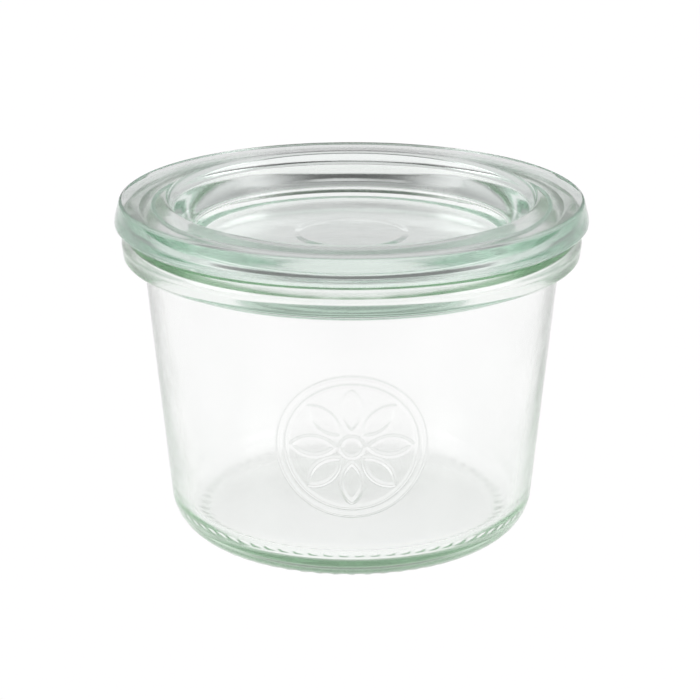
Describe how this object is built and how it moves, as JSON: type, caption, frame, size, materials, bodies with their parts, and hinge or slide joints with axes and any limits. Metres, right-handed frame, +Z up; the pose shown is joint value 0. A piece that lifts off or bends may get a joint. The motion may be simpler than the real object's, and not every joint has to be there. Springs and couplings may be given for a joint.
{
  "type": "canning jar with lid",
  "caption": "Small tapered clear glass canning jar, empty, with a flanged rim and a recessed glass lid that rests on it; the lid's recess takes the foot of a stacked jar",
  "frame": {"origin": "centre of the flat ring that the jar stands on", "axes": "+Z up along the jar's axis; the front wall faces -Y"},
  "size_m": [0.07, 0.07, 0.0512],
  "materials": {
    "jar_glass": "clear pressed glass with a faint green tint where it is thick",
    "lid_glass": "clear pressed glass with a faint green tint where it is thick"
  },
  "bodies": {
    "root": {"jar": "jar_glass", "lid": "lid_glass"}
  },
  "joints": []
}
